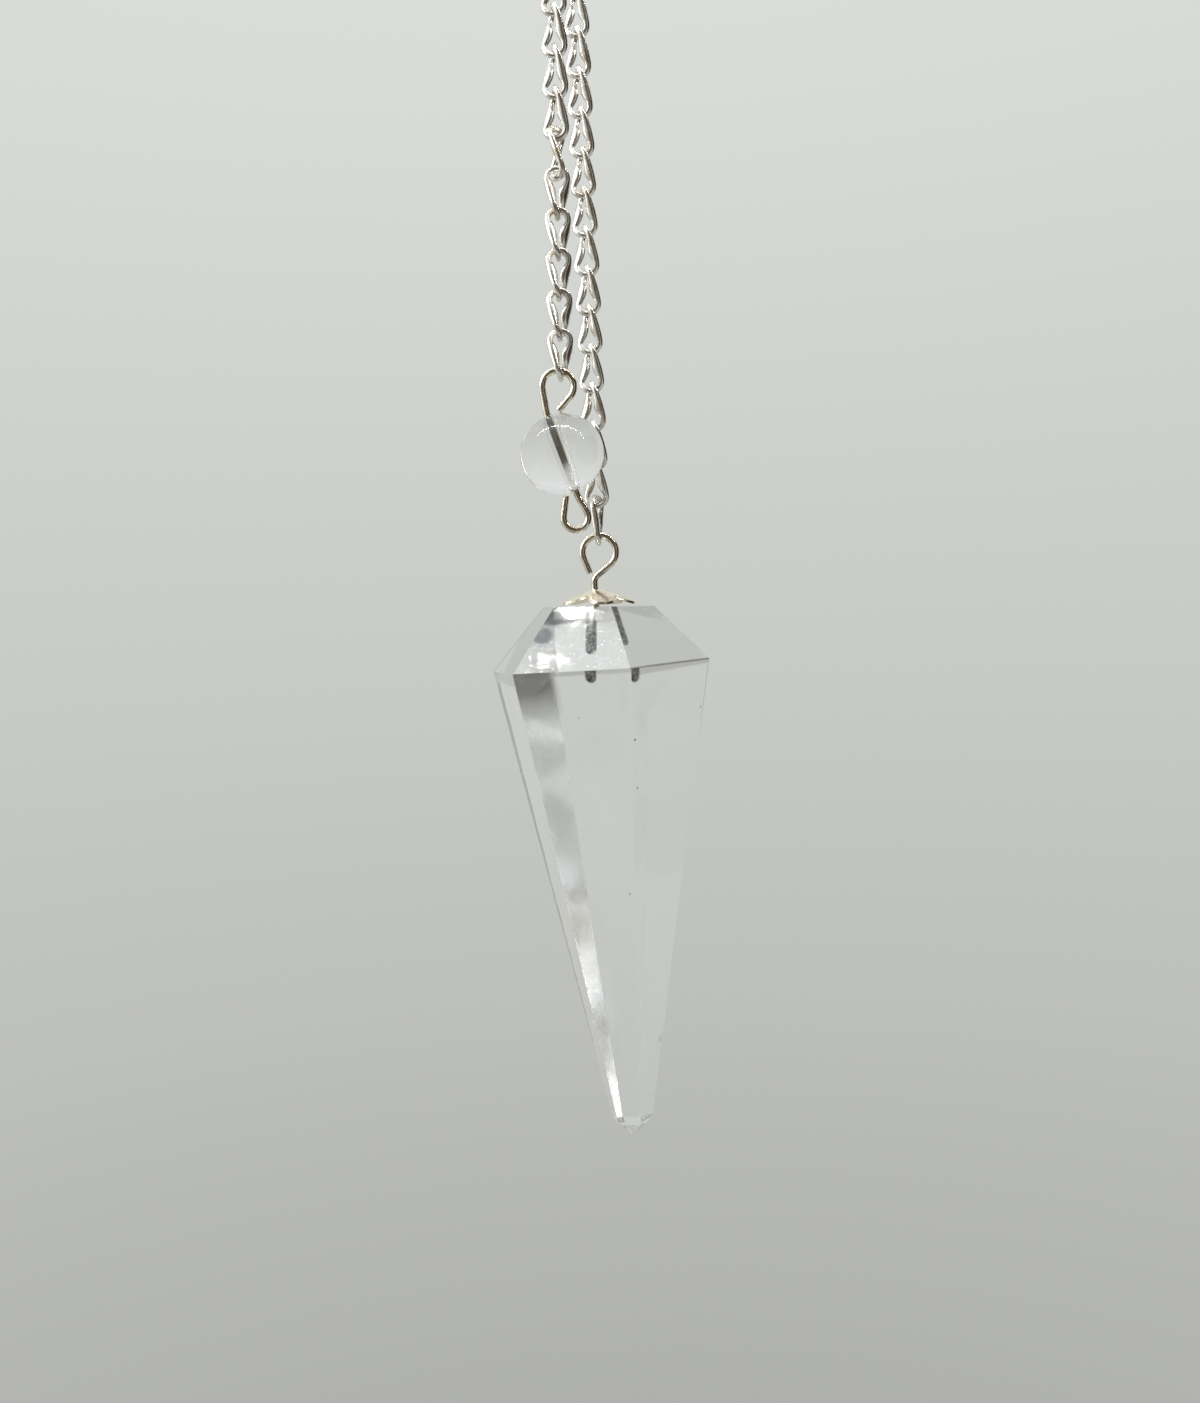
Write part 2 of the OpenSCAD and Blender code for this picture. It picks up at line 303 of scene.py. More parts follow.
# Camera: in front of the crystal's eye and a little below it, tipped down and rolled a few degrees
print("camera")
cameraSize = {
    "lens": 31.36,
    "fromEye": Vector((-0.53, -122, -5.94)) * mm,
    "pitch": 4.6,
    "roll": 2.45,
}
bpy.ops.object.camera_add()
camera = bpy.context.object
camera.name = "studio_camera"
camera.data.lens = cameraSize["lens"]
camera.data.clip_start = 1 * mm
camera.matrix_world = (Matrix.Translation(jointAt["drop_swing"] + cameraSize["fromEye"])
                       @ turned(90 - cameraSize["pitch"], "X") @ turned(-cameraSize["roll"], "Z"))
bpy.context.scene.camera = camera

# Cove: a flat pale floor that sweeps up into a round wall. It gives its own even light, paler with
# height; the tones are heights above the floor in mm, and how pale it is there
coveSize = {
    "floor": -420 * mm,
    "flat": 250 * mm,
    "bend": 400 * mm,
    "wall": 450 * mm,
    "sides": 96,
    "rings": 12,
    "tones": [(0, 0.42), (10, 0.434), (20, 0.452), (40, 0.468), (103, 0.518), (255, 0.58), (376, 0.616),
              (620, 0.70), (850, 0.75)],
    "tint": (0.988, 1.008, 0.962),
}


def makeCove():
    size = coveSize
    freeHands()
    bpy.ops.mesh.primitive_circle_add(vertices=size["sides"], radius=size["flat"], fill_type="NGON",
                                      location=(0, 0, size["floor"]))
    cove = bpy.context.object
    cove.name = "studio_cove"
    bpy.ops.object.transform_apply(location=True)
    openEdit()
    pick("edges", lambda edge: edge.is_boundary)
    reached = size["flat"]
    for ring in range(1, size["rings"] + 1):
        turn = math.pi / 2 * ring / size["rings"]
        before = math.pi / 2 * (ring - 1) / size["rings"]
        wide = size["flat"] + size["bend"] * math.sin(turn)
        extrude((0, 0, size["bend"] * (math.cos(before) - math.cos(turn))))
        widen(wide / reached)
        reached = wide
    extrude((0, 0, size["wall"]))
    closeEdit()
    smooth(cove, 40)
    paint = Paint("studio_paint")
    high = paint.height() - size["floor"] / mm
    full = (size["bend"] + size["wall"]) / mm
    stops = [(at / full, tuple(grey * part for part in size["tint"]) + (1,)) for at, grey in size["tones"]]
    cove.data.materials.append(paint.glow(paint.ramp(high * (1 / full), *stops)))


# Lamps and dark cards stand round the drop and face its middle. A row gives azimuth (0 behind the
# drop, 90 to the right, 180 at the camera) and elevation in degrees, then distance, width and height
# in mm, a lamp's tone (1 is white in the picture), the colour, and whether it is seen through glass
dropMiddle = Vector((0, 0, -130)) * mm
lampRows = {
    "key_softbox": (-108, 64, 450, 190, 170, 1.2, (0.88, 0.94, 1.0), True),
    "left_window": (-92, 4, 480, 110, 190, 1.9, (0.97, 0.99, 1.0), False),
    "chain_window": (-112, 33, 480, 300, 280, 4.5, (0.98, 0.99, 1.0), False),
    "side_card": (-92, -26, 480, 150, 90, 0.3, (0.95, 0.98, 1.0), True),
    "back_card": (-2, -19.5, 520, 90, 50, 0.15, (0.97, 0.98, 1.0), True),
    "warm_card": (126, 46, 450, 70, 60, 0.35, (1.0, 0.96, 0.88), True),
    "top_card": (-28, 65, 450, 90, 60, 0.3, (1.0, 0.99, 0.95), True),
}
flagRows = {
    "camera_flag": (-175, -6, 420, 620, 420, (0.1, 0.085, 0.06, 1), False),
    "high_flag": (160, 36, 450, 400, 260, (0.08, 0.062, 0.04, 1), False),
    "right_flag": (101, 4, 450, 720, 600, (0.025, 0.018, 0.01, 1), False),
    "edge_flag": (73, 11, 450, 42, 200, (0.02, 0.02, 0.02, 1), True),
    "low_flag": (62, -57, 300, 190, 150, (0.12, 0.125, 0.11, 1), True),
}


def toward(azimuth, elevation, far):
    flat = math.cos(math.radians(elevation))
    way = Vector((math.sin(math.radians(azimuth)) * flat, math.cos(math.radians(azimuth)) * flat,
                  math.sin(math.radians(elevation))))
    return dropMiddle + way * far


def faceDrop(piece, front):
    piece.rotation_mode = "QUATERNION"
    piece.rotation_quaternion = (dropMiddle - piece.location).to_track_quat(front, "Y")


def makeLamp(name):
    azimuth, elevation, far, wide, high, tone, colour, inGlass = lampRows[name]
    bpy.ops.object.light_add(type="AREA", location=toward(azimuth, elevation, far * mm))
    lamp = bpy.context.object
    lamp.name = name
    lamp.data.shape = "RECTANGLE"
    lamp.data.size = wide * mm
    lamp.data.size_y = high * mm
    lamp.data.energy = tone * math.pi * (wide * mm) * (high * mm)
    lamp.data.color = colour
    faceDrop(lamp, "-Z")
    lamp.visible_camera = False
    lamp.visible_transmission = inGlass


def makeFlag(name):
    # a dark card that the camera doesn't see and that throws no shadow
    azimuth, elevation, far, wide, high, tone, inGlass = flagRows[name]
    freeHands()
    bpy.ops.mesh.primitive_plane_add(size=1, location=toward(azimuth, elevation, far * mm))
    flag = bpy.context.object
    flag.name = name
    flag.scale = (wide * mm, high * mm, 1)
    faceDrop(flag, "Z")
    flag.visible_camera = False
    flag.visible_shadow = False
    flag.visible_transmission = inGlass
    flag.data.materials.append(Paint(name).glow(tone))


# Rows of small lamps overhead: a long one that the bead mirrors, and two short ones whose glints
# lie low on the crown and under the cap
railSizes = {
    "long_rail": {"left": Vector((-257, -2, 109)) * mm, "right": Vector((330, -92, 109)) * mm,
                  "lamps": 26, "wide": 12.5 * mm, "tone": 55},
    "low_rail": {"left": Vector((-111.5, -41.3, 109)) * mm, "right": Vector((-105.5, -43, 109)) * mm,
                 "lamps": 5, "wide": 1.9 * mm, "tone": 42},
    "cap_rail": {"left": Vector((-98.5, -28.6, 109)) * mm, "right": Vector((-91, -31.4, 109)) * mm,
                 "lamps": 4, "wide": 2 * mm, "tone": 34},
}
railColour = (1, 0.99, 0.95, 1)


def makeRail(name):
    size = railSizes[name]
    lamps = []
    for number in range(size["lamps"]):
        at = size["left"].lerp(size["right"], number / (size["lamps"] - 1))
        freeHands()
        bpy.ops.mesh.primitive_circle_add(vertices=8, radius=size["wide"] / 2, fill_type="NGON", location=at)
        lamps.append(bpy.context.object)
    only(*lamps)
    bpy.ops.object.join()
    rail = bpy.context.object
    rail.name = name
    rail.visible_camera = False
    rail.data.materials.append(Paint(name).surface({"Base Color": (0, 0, 0, 1), "Emission Color": railColour,
                                                    "Emission Strength": size["tone"]}))


print("studio")
makeCove()
for name in railSizes:
    makeRail(name)
for name in lampRows:
    makeLamp(name)
for name in flagRows:
    makeFlag(name)

airLook = {"colour": (0.98, 1.0, 1.0, 1), "strength": 0.77}
world = bpy.data.worlds.new("studio_air")
world.use_nodes = True
air = world.node_tree.nodes["Background"]
air.inputs["Color"].default_value = airLook["colour"]
air.inputs["Strength"].default_value = airLook["strength"]
bpy.context.scene.world = world
bpy.context.scene.view_settings.view_transform = "Standard"
# light goes round inside the crystal many times before it leaves
bpy.context.scene.cycles.max_bounces = 32
bpy.context.scene.cycles.diffuse_bounces = 3
bpy.context.scene.cycles.glossy_bounces = 24
bpy.context.scene.cycles.transmission_bounces = 32

# Metals: broad, fine and dents are noises (scale per mm, detail, roughness), tarnish says where in
# the mix of broad and fine it starts and where it is full, and dulledBy which pattern roughens them
silverLook = {
    "clean": (0.97, 0.96, 0.93, 1),
    "dark": (0.44, 0.34, 0.22, 1),
    "broad": (0.7, 4, 0.6),
    "fine": (9, 4, 0.6),
    "fineShare": 0.4,
    "tarnish": (0.47, 0.66),
    "rough": 0.21,
    "duller": 0.1,
    "dulledBy": "tarnish",
    "dents": (1.2, 2, 0.5),
    "dentStrength": 0.1,
    "dentDepth": 0.06 * mm,
}
wireLook = {
    "clean": (0.93, 0.87, 0.75, 1),
    "dark": (0.42, 0.33, 0.22, 1),
    "broad": (0.9, 4, 0.6),
    "fine": (6, 3, 0.5),
    "fineShare": 0.35,
    "tarnish": (0.46, 0.7),
    "rough": 0.1,
    "duller": 0.16,
    "dulledBy": "tarnish",
    "dents": (2.4, 2, 0.5),
    "dentStrength": 0.3,
    "dentDepth": 0.08 * mm,
    "inBead": (0.12, 0.1, 0.08, 1),
    # pale on the pin in the bead: a painted highlight, the glint of bright surroundings on its lower end
    "pale": (0.97, 0.96, 0.93, 1),
    "paintedHighlightTo": (0.32, 0.44),    # where up the stretch in the bead the painted highlight fades out
    "paintedHighlightMatt": 0.4,
}
champagneLook = {
    "clean": (0.97, 0.9, 0.74, 1),
    "dark": (0.6, 0.46, 0.3, 1),
    "broad": (0.8, 3, 0.5),
    "fine": (5, 3, 0.5),
    "fineShare": 0.35,
    "tarnish": (0.5, 0.75),
    "rough": 0.14,
    "duller": 0.14,
    "dulledBy": "fine",
    "dents": (3, 3, 0.5),
    "dentStrength": 0.25,
    "dentDepth": 0.05 * mm,
}


def tarnished(paint, look):
    # colour and roughness of the metal with its tarnish
    fine = paint.noise(*look["fine"])
    mix = paint.noise(*look["broad"]) * (1 - look["fineShare"]) + fine * look["fineShare"]
    tarnish = paint.rise(mix, *look["tarnish"])
    tone = paint.blend(tarnish, look["clean"], look["dark"])
    return tone, look["rough"] + look["duller"] * {"fine": fine, "tarnish": tarnish}[look["dulledBy"]]


def metal(paint, look, tone, rough):
    dents = paint.bump(paint.noise(*look["dents"]), look["dentStrength"], look["dentDepth"])
    return paint.surface({"Base Color": tone, "Metallic": 1.0, "Roughness": rough, "Normal": dents})


def silverPlate():
    paint = Paint("silver_plate")
    return metal(paint, silverLook, *tarnished(paint, silverLook))


def wirePlate(name, stand, hidden=0, half=1):
    # hidden is 1 for a pin that lies in a bead from half below its middle to half above, in mm: dark
    # there, and pale and matt at the lower end of that stretch, a painted highlight
    look = wireLook
    paint = Paint(name, stand)
    tone, rough = tarnished(paint, look)
    along = paint.height()
    # the pale, matt lower end of the stretch in the bead is a painted highlight
    lower = paint.fall(along * (0.5 / half) + 0.1 * paint.noise(*look["fine"]) + 0.45, *look["paintedHighlightTo"])
    inside = (along < half) * (along > -half) * hidden
    pale = inside * lower
    tone = paint.blend(pale, paint.blend(inside, tone, look["inBead"]), look["pale"])
    return metal(paint, look, tone, rough + look["paintedHighlightMatt"] * pale)


def champagnePlate():
    paint = Paint("champagne_plate")
    return metal(paint, champagneLook, *tarnished(paint, champagneLook))


# Quartz: patterns named with Noise are a scale per mm, a detail and a roughness
quartzIndex = 1.544
quartzLook = {
    "clear": (0.985, 0.99, 0.985, 1),
    "smudge": (0.1, 0.115, 0.135, 1),
    "paintedReflection": (0.12, 0.12, 0.115, 1),
    "speck": (0.2, 0.2, 0.19, 1),
    "near": 0.03,        # a point this near a facet's plane lies on the facet, in mm
    "ragged": 0.1,       # how uneven the edges of specks and dark lines are, in mm
    "polish": 0.04,      # roughness, and what haze and the crown's patches add to it
    "haze": 0.1,
    "hazeNoise": (0.55, 4, 0.6),
    "patch": 0.04,
    "patchNoise": (0.7, 3, 0.6),
    "dots": 0.75,        # how much the dust's dots cover, how many per mm and how wide they are
    "dotsPerMm": 3.4,
    "dotWide": 0.17,
    "dotNoise": (1.3, 2, 0.5),
    "scratches": 0.35,
    "scratchNoise": (1.7, 2, 0.5),
    "scratchTurn": (0.4, 0.75, 0.3),
    "scratchStretch": (1, 9, 0.55),
    "mottleNoise": (4, 5, 0.8),
    "raggedNoise": (9, 2, 0.5),
    "paintedShade": 0.3,        # how dark the painted reflection's mottled shade and its band are on the body's left front facet
    "paintedReflectionShare": 0.95,
    "bandWide": 5,       # how far they reach from that facet's left edge, and the painted mottled shade down it, in mm
    "paintedShadeLong": 20,
    "paintedReflectionFade": 0.12,   # how fast the painted reflection's band fades, per mm down the facet
    "waveNoise": (0.35, 2, 0.5),
    "waveStrength": 0.06,
    "waveDepth": 0.3 * mm,
}


def crystalQuartz(crown, body, specksAt, smudgesAt, darkEdges):
    # hand polished: a soft haze all over, dust, scratches and smudges on the crown's left front facet,
    # a painted reflection below it, down the edge of the body: the mottled dark band that this facet
    # mirrors inside the crystal; a few specks, and dark lines on some edges. Places are in the crystal's own
    # frame, in mm
    look = quartzLook
    paint = Paint("crystal_quartz", dropPlace)
    haze = paint.noise(*look["hazeNoise"])
    crownNormal, crownOff = crown
    height = paint.vector("DOT_PRODUCT", paint.place, crownNormal)
    onCrown = (height > crownOff - look["near"]) * (height < crownOff + look["near"])
    patches = paint.rise(paint.noise(*look["patchNoise"]), 0.42, 0.62)
    dots = paint.cells(look["dotsPerMm"]) < look["dotWide"]
    dots = dots * (paint.noise(*look["dotNoise"]) > 0.5) * onCrown
    streaks = paint.add("Mapping", {}, {"Vector": paint.place, "Rotation": look["scratchTurn"],
                                        "Scale": look["scratchStretch"]})
    scratches = (paint.noise(*look["scratchNoise"], streaks) > 0.69) * onCrown
    dust = dots * look["dots"] + scratches * look["scratches"]
    far = [paint.vector("DISTANCE", paint.place, at) for at in smudgesAt]
    nearest = paint.add("Math", {"operation": "MINIMUM"}, {0: far[0], 1: far[1]})
    mottle = paint.noise(*look["mottleNoise"])
    smudge = paint.fall(nearest * 0.35 + 0.6 * mottle, 0.58, 0.74) * onCrown
    out, inward, down = [paint.vector("DOT_PRODUCT", paint.place, way) - off for way, off in body]
    onBody = (out > -look["near"]) * (out < look["near"])
    # painted reflection: inside the crystal the body's left front facet mirrors a dark mottled band along its
    # left edge, darkest at the top and with a straight inner edge; that reflection is painted into the colour
    # here
    across = inward * (1 / look["bandWide"])
    paintedReflection = (paint.fall(down * look["paintedReflectionFade"] + 0.5 * mottle, 0.5, 0.85)
             * paint.fall(across, 0.7, 0.88))
    paintedShade = (paint.rise(mottle, 0.47, 0.66) * paint.fall(across, 0.4, 0.75)
             * paint.fall(down * (1 / look["paintedShadeLong"]), 0.45, 0.95))
    ragged = look["ragged"] * paint.noise(*look["raggedNoise"])
    specks = 0
    for place, radius, dark in specksAt:
        away = paint.vector("DISTANCE", paint.place, place)
        specks = specks + (away + ragged < radius + look["ragged"] / 2) * dark
    lines = 0
    for start, end, reach, wide in darkEdges:
        along = paint.vector("SUBTRACT", paint.place, start, "Vector")
        aside = paint.vector("CROSS_PRODUCT", along, (end - start).normalized(), "Vector")
        onLine = paint.vector("LENGTH", aside) + ragged < wide + look["ragged"] / 2
        lines = lines + onLine * paint.fall(paint.vector("LENGTH", along) * (1 / reach), 0.4, 1)
    tone = paint.blend(smudge, look["clear"], look["smudge"])
    # the painted reflection's shade darkens the body's left front facet
    tone = paint.blend(onBody * (look["paintedShade"] * paintedShade + look["paintedReflectionShare"] * paintedReflection), tone, look["paintedReflection"])
    tone = paint.blend(specks, tone, look["speck"])
    tone = paint.blend(lines, tone, look["speck"])
    rough = look["polish"] + look["haze"] * haze * (1 - onCrown) + look["patch"] * patches * onCrown
    waves = paint.bump(paint.noise(*look["waveNoise"]), look["waveStrength"], look["waveDepth"])
    return paint.surface({"Base Color": tone, "Metallic": dust, "Roughness": rough, "IOR": quartzIndex,
                          "Transmission Weight": 1.0, "Normal": waves})


beadLook = {"tint": (1, 1, 1, 1), "polish": 0.02, "ground": 0.12}
cementLook = {"dark": (0.03, 0.032, 0.027, 1), "pale": (0.42, 0.43, 0.38, 1), "grain": (3.2, 4, 0.7),
              "rough": 0.6}


def beadQuartz():
    # polished outside, ground in the bore
    paint = Paint("bead_quartz", beadPlace)
    away = paint.vector("LENGTH", paint.vector("MULTIPLY", paint.place, (1, 1, 0), "Vector"))
    bore = away < beadSize["hole"] / 2 / mm + beadSize["rim"] / mm
    return paint.surface({"Base Color": beadLook["tint"], "IOR": quartzIndex, "Transmission Weight": 1.0,
                          "Roughness": beadLook["polish"] + beadLook["ground"] * bore})


def darkCement():
    paint = Paint("grey_cement")
    grain = paint.rise(paint.noise(*cementLook["grain"]), 0.42, 0.6)
    tone = paint.blend(grain, cementLook["dark"], cementLook["pale"])
    return paint.surface({"Base Color": tone, "Roughness": cementLook["rough"]})


# Curb chain: a link is bent from wire and twisted, then copied down both strands
linkSize = {
    "wire": 0.6 * mm,
    "wide": 2.65 * mm,
    "long": 5.07 * mm,
    "gap": 0.15 * mm,
    "twist": 90,
    "sides": 12,
    "step": 0.3 * mm,
    "legWide": 1.8,             # how much the hammered legs spread, across the link and through it
    "legDeep": 1.3,
}
strandSize = {
    "hook": 1.5 * mm,
    "dropLinks": 27,
    "beadLinks": 23,
    "facedLinks": 5,
    "endTurn": 30,
    "turnSlack": 0.12 * mm,     # lost for every 45 degrees between one link and the next
    "lightSlack": 0.01 * mm,    # the bead weighs less, so its links hang a little closer
    "foldTurn": -30,
    "foldSide": 0.18,
    "foldBack": 0.9,
    "foldRise": 0.16,
}
halfLink = (linkSize["long"] - linkSize["wire"]) / 2


def makeLink(twist):
    size = linkSize
    bend = (size["wide"] - size["wire"]) / 2
    straight = size["long"] - size["wide"]
    link = bendWire(size["wire"], size["sides"], Vector((bend, 0, -straight / 2)), 90,
                    [(0, straight), (bend, 180), (0, straight), (bend, 180)], step=size["step"], turn=15)
    pick("faces", isCap)
    bpy.ops.mesh.delete(type="FACE")
    weld()
    facesOut()
    # the legs are hammered: wider than the round ends, and all of it inwards
    rings = round(straight / size["step"])
    for ring in range(1, rings):
        high = straight * (ring / rings - 0.5)
        share = math.sin(math.pi * ring / rings)
        for side in (-1, 1):
            pick("verts", lambda vert: vert.co.x * side > 0 and abs(vert.co.z - high) < 0.1 * size["step"])
            bpy.ops.transform.resize(value=(1 + (size["legWide"] - 1) * share,
                                            1 + (size["legDeep"] - 1) * share, 1),
                                     center_override=(side * size["wide"] / 2, 0, high))
    closeEdit()
    applyModifier(link, "SIMPLE_DEFORM", deform_method="TWIST", deform_axis="Z",
                  angle=math.radians(-twist * size["long"] / (2 * halfLink)))
    smooth(link, 60)
    return put(link, "link_pattern", turned(twist / 2, "Z"))


def hang(number, step, top):
    # how far a link hangs below its strand's first one; links turned against each other sit higher
    return (number - 1) * step - strandSize["turnSlack"] * (90 - top) / 45


def linkPlaces(beadTop):
    # each link's place, and whether it is the crystal's less twisted end link
    size = strandSize
    step = linkSize["long"] - 2 * linkSize["wire"] - linkSize["gap"]
    topZ = (size["hook"] + linkSize["wire"]) / 2
    firstZ = topZ + size["foldRise"] * halfLink - halfLink
    side = size["foldSide"] * halfLink
    back = size["foldBack"] * halfLink
    places = [(Matrix.Translation((-side, 0, topZ)) @ turned(size["foldTurn"], "Z") @ turned(-90, "X")
               @ turned(-linkSize["twist"] / 2, "Z"), False)]
    for number in range(1, size["dropLinks"] + 1):
        isEnd = number == size["dropLinks"]
        top = 90 - size["endTurn"] if isEnd else 90
        at = Matrix.Translation((0, back, firstZ - hang(number, step, top)))
        places.append((at @ turned(top, "Z"), isEnd))
    # the bead's strand leans from the fold to the bead's own loop, and its last links are a quarter
    # turn round from the rest, below one that is half turned
    start = Vector((-2 * side, -back, firstZ))
    way = (beadTop - start).normalized()
    lean = (turned(-math.degrees(math.atan2(-way.y, -way.z)), "X")
            @ turned(math.degrees(math.asin(-way.x)), "Y"))
    for number in range(1, size["beadLinks"] + 1):
        top = max(0, min(90, 45 * (size["beadLinks"] - number - size["facedLinks"] + 1)))
        drop = Vector((0, 0, -hang(number, step - size["lightSlack"], top)))
        places.append((Matrix.Translation(start) @ lean @ Matrix.Translation(drop) @ turned(top, "Z"), False))
    return places


def makeChain(beadTop):
    patterns = {False: makeLink(linkSize["twist"]), True: makeLink(strandSize["endTurn"])}
    links = []
    for place, isEnd in linkPlaces(beadTop):
        link = bpy.data.objects.new("link", patterns[isEnd].data.copy())
        bpy.context.scene.collection.objects.link(link)
        links.append(put(link, "link", place))
    for pattern in patterns.values():
        bpy.data.objects.remove(pattern)
    only(*links)
    bpy.ops.object.join()
    chain = bpy.context.object
    chain.name = "curb_chain"
    chain.data.materials.append(silverPlate())
    finish(chain, "root", "chain")


# Bead and the pin that is bent into a loop at each end of it
beadSize = {
    "wide": 8 * mm,
    "long": 7.4 * mm,
    "hole": 1 * mm,
    "rim": 0.06 * mm,
    "tilt": 18,
    "outline": 96,
    "sides": 128,
}
pinSize = {
    "wire": 0.68 * mm,
    "sides": 16,
    "play": 0.12 * mm,
    "neck": 0.2 * mm,
    "bend": 0.3 * mm,
    "cut": 0.05 * mm,
    "upper": {"radius": 1.5 * mm, "side": 1.88 * mm, "rise": 2.23 * mm, "wrap": 231, "tail": 1.7 * mm},
    "lower": {"radius": 1.18 * mm, "side": 0.83 * mm, "rise": 2.23 * mm, "wrap": 218, "tail": 1.9 * mm},
    "linkGap": 0.13 * mm,
    "linkAt": 65,
}
pinEnd = beadSize["long"] / 2 + pinSize["play"]
beadPlace = Matrix.Translation(jointAt["bead_spin"]) @ turned(-beadSize["tilt"], "Y")
upperMiddle = Vector((pinSize["upper"]["side"], 0, pinEnd + pinSize["upper"]["rise"]))
lowerMiddle = Vector((-pinSize["lower"]["side"], 0, -pinEnd - pinSize["lower"]["rise"]))


def bentLoop(corner, shaft, middle, radius, side, wrap, tail, reach):
    # from a shaft that points at the corner: a small bend, a straight, the loop and its cut tail
    meet = touch(corner, middle, radius, side)
    straight = middle + polar(radius, meet) - corner
    turn = math.degrees(math.atan2(straight.z, straight.x)) - shaft
    bend = reach / math.tan(math.radians(abs(turn) / 2))
    return [(bend, turn), (0, straight.length - reach), (radius, side * wrap), (0, tail)]


def makePin():
    size = pinSize
    neck = pinEnd + size["neck"]

    def loop(shaft, middle, part):
        corner = Vector((0, 0, math.copysign(neck, shaft)))
        return bentLoop(corner, shaft, middle, part["radius"], -1, part["wrap"], part["tail"], size["bend"])

    up = loop(90, upperMiddle, size["upper"])
    down = loop(-90, lowerMiddle, size["lower"])
    cutEnd, heading = walk(Vector((0, 0, neck - size["bend"])), 90, up)
    shaft = [(0, 2 * (neck - size["bend"]))]
    pin = bendWire(size["wire"], size["sides"], cutEnd, heading + 180, backwards(up) + shaft + down)
    roundCuts(size["cut"])
    closeEdit()
    put(pin, "bent_pin", beadPlace)
    smooth(pin, 40)
    pin.data.materials.append(wirePlate("pin_wire", beadPlace, 1, beadSize["long"] / 2 / mm))
    finish(pin, "root", "bead_pin")


def makeBead():
    size = beadSize
    bore = size["hole"] / 2
    section = size["long"] / 2
    freeHands()
    bpy.ops.mesh.primitive_circle_add(vertices=size["outline"], radius=section, fill_type="NOTHING",
                                      location=(size["wide"] / 2 - section, 0, 0),
                                      rotation=(math.pi / 2, 0, 0))
    bead = bpy.context.object
    bpy.ops.object.transform_apply(location=True, rotation=True, scale=True)
    openEdit()
    takeAll()
    bpy.ops.mesh.bisect(plane_co=(bore, 0, 0), plane_no=(-1, 0, 0), clear_outer=True, threshold=1e-7)
    pick("verts", lambda vert: len(vert.link_edges) == 1)
    bpy.ops.mesh.edge_face_add()
    pick("verts", lambda vert: vert.co.x < bore + 0.001 * mm)
    bpy.ops.mesh.bevel(offset=size["rim"], affect="VERTICES")
    takeAll()
    bpy.ops.mesh.spin(steps=size["sides"], angle=math.tau, center=(0, 0, 0), axis=(0, 0, 1))
    weld()
    facesOut()
    closeEdit()
    put(bead, "round_bead", beadPlace)
    smooth(bead, 30)
    bead.data.materials.append(beadQuartz())
    finish(bead, "bead", "bead")


# The front strand's end link: its lowest wire lies high in the pin's upper loop
loopPlay = pinSize["upper"]["radius"] - pinSize["wire"] / 2 - pinSize["linkGap"] - linkSize["wire"] / 2
beadTop = beadPlace @ upperMiddle + polar(loopPlay, pinSize["linkAt"])
print("chain")
makeChain(beadTop)
print("pin and bead")
makePin()
makeBead()

# Crystal with its eye peg, cap and cement: all in the crystal's own frame, Z up from its table
crystalSize = {
    "table": 5.6 * mm,
    "girdle": 11 * mm,
    "shoulder": 2.1 * mm,
    "crown": 5.8 * mm,
    "body": 46.6 * mm,
    "tip": 2.1 * mm,
    "tableTilt": 3.3,
    "lean": 1.65,
    "corners": [43, 105, 171, 221, 284.5, 345.5],
    "edge": 0.035 * mm,
    "blankSides": 64,
    "hole": 1.1 * mm,
    "deep": 6.8 * mm,
    "holeSides": 48,
    # the drill's worn point: how far down it and how wide there, in shares of its radius
    "drillPoint": [(0.45, 0.9), (0.8, 0.62), (1, 0.2)],
    "dustyFacet": 3,
    # two smudges beside the dusty facet's edge: shares of the way down it, and how far in, in mm
    "smudges": (0.14, 0.42),
    "smudgeIn": 0.7,
    # where a speck lies: facet, share of the way round it, share of the way down the body, and how
    # wide and how dark it is
    "specks": [(4, 0.04, 0.145, 0.14, 1), (4, 0.07, 0.245, 0.11, 1), (4, 0.96, 0.1, 0.1, 1),
               (3, 0.93, 0.47, 0.09, 1), (3, 0.52, 0.095, 0.07, 1), (2, 0.85, 0.88, 0.17, 1),
               (4, 0.92, 0.82, 0.42, 0.3)],
    # edges that show as thin dark lines: a ring and its corner, the ring and corner that it runs
    # towards, and how far and how wide it shows, in mm
    "darkEdges": [("girdle", 5, "girdle", 4, 20, 0.1), ("girdle", 5, "shoulder", 5, 9, 0.08),
                  ("girdle", 2, "table", 2, 14, 0.3)],
}
eyeSize = {
    "wire": 0.68 * mm,
    "sides": 16,
    "radius": 1.66 * mm,
    "rise": 6.24 * mm,
    "bendAt": 2.85 * mm,
    "bend": 0.5 * mm,
    "deep": 5.8 * mm,
    "wrapTo": 199,
    "tail": 1.6 * mm,
    "cut": 0.05 * mm,
    "linkGap": 0.13 * mm,
}
cementSize = {
    "soak": 0.01 * mm,
    "below": 0.1 * mm,
    "play": 0.02 * mm,
    "sides": 32,
}


def frustum(high, wide, narrow):
    # volume share and depth of the middle of a stretch that narrows
    squares = wide * wide + wide * narrow + narrow * narrow
    return high * squares, high / 4 * (wide * wide + 2 * wide * narrow + 3 * narrow * narrow) / squares


def balanceDepth(size):
    above, total, moment = 0, 0, 0
    for high, wide, narrow in ((size["crown"], size["table"], size["girdle"]),
                               (size["body"], size["girdle"], size["shoulder"]),
                               (size["tip"], size["shoulder"], 0)):
        share, depth = frustum(high, wide, narrow)
        total += share
        moment += share * (above + depth)
        above += high
    return moment / total


